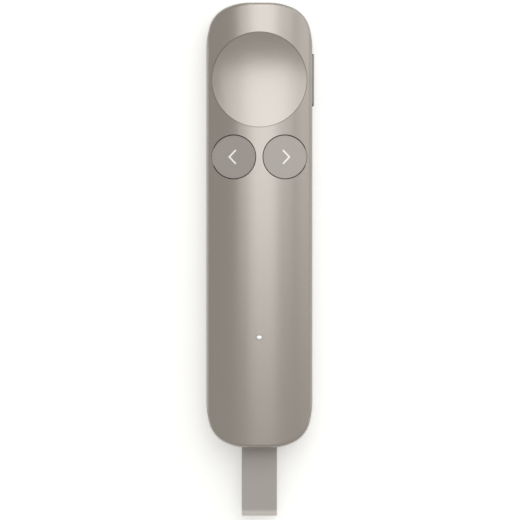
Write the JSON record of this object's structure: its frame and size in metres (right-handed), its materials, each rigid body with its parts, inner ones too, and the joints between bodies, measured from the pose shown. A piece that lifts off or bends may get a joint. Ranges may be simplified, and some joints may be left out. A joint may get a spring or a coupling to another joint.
{
  "type": "wireless presentation clicker",
  "caption": "Slim handheld presentation remote with a large round scooped button, two small arrow keys, a side button and a pull-out receiver on a strap loop.",
  "frame": {"origin": "middle of the flat land on the back, under the middle of the body's length and width", "axes": "+X to the side button's edge, +Y to the nose, +Z out of the button face"},
  "size_m": [0.0318, 0.1517, 0.0141],
  "materials": {
    "body_metal": "satin, bead-blasted and anodised, warm greige",
    "cap_metal": "satin, bead-blasted and anodised, warm greige",
    "mark_white": "moulded white",
    "black_plastic": "fine matt",
    "grey_plastic": "fine matt",
    "clear_light": "translucent white",
    "window": "dark transparent",
    "board": "solder mask",
    "chip": "moulded",
    "ceramic": "sintered",
    "steel": "pressed sheet",
    "screw_steel": "blackened",
    "brass": "turned",
    "lens": "polished",
    "battery_foil": "laminated foil",
    "foam": "open-cell foam",
    "tape": "double-sided tape",
    "lead": "wire insulation",
    "receiver_plastic": "fine matt",
    "strap_rubber": "matte silicone"
  },
  "bodies": {
    "housing": {"front_shell": "body_metal", "back_shell": "body_metal", "inner_frame": "black_plastic", "main_board": "board", "frame_screws": "screw_steel", "pointer_switch_base": "chip", "next_switch_base": "chip", "previous_switch_base": "chip", "side_switch_base": "chip", "pointer_dome": "steel", "next_dome": "steel", "previous_dome": "steel", "side_dome": "steel", "battery_cell": "battery_foil", "battery_tape": "tape", "battery_foam": "foam", "battery_plug": "grey_plastic", "battery_leads": "lead", "radio_shield": "steel", "chip_antenna": "ceramic", "board_chips": "chip", "status_led": "clear_light", "light_pipe": "clear_light", "laser_barrel": "brass", "laser_lens": "lens", "laser_driver": "board", "nose_window": "window", "motor_case": "steel", "usb_port_shell": "steel", "usb_port_tongue": "black_plastic", "dock_sleeve": "grey_plastic"},
    "pointer_button": {"pointer_cap": "cap_metal", "pointer_carrier": "black_plastic"},
    "next_button": {"next_cap": "cap_metal", "next_chevron": "mark_white", "next_carrier": "black_plastic"},
    "previous_button": {"previous_cap": "cap_metal", "previous_chevron": "mark_white", "previous_carrier": "black_plastic"},
    "side_button": {"side_cap": "cap_metal", "side_carrier": "black_plastic"},
    "receiver": {"receiver_case": "receiver_plastic", "receiver_tail_cap": "receiver_plastic", "receiver_plug_shell": "steel", "receiver_insert": "black_plastic", "receiver_board": "board", "strap_pin": "steel", "strap_loop": "strap_rubber"},
    "motor_rotor": {"motor_shaft": "steel", "motor_weight": "steel"}
  },
  "joints": [
    {"name": "pointer_press", "type": "slide", "parent": "housing", "child": "pointer_button", "axis": [0, 0, -1], "range_m": [0, 0.0005], "stiffness_N_per_m": 1500, "deforming": ["pointer_dome"]},
    {"name": "next_press", "type": "slide", "parent": "housing", "child": "next_button", "axis": [0, 0, -1], "range_m": [0, 0.0004], "stiffness_N_per_m": 1500, "deforming": ["next_dome"]},
    {"name": "previous_press", "type": "slide", "parent": "housing", "child": "previous_button", "axis": [0, 0, -1], "range_m": [0, 0.0004], "stiffness_N_per_m": 1500, "deforming": ["previous_dome"]},
    {"name": "side_press", "type": "slide", "parent": "housing", "child": "side_button", "axis": [-1, 0, 0], "range_m": [0, 0.0004], "stiffness_N_per_m": 1500, "deforming": ["side_dome"]},
    {"name": "receiver_pull", "type": "slide", "parent": "housing", "child": "receiver", "axis": [0, -1, 0], "range_m": [0, 0.026]},
    {"name": "motor_spin", "type": "hinge", "parent": "housing", "child": "motor_rotor", "pos_m": [0, 0.021, 0.00365], "axis": [1, 0, 0], "continuous": true}
  ]
}
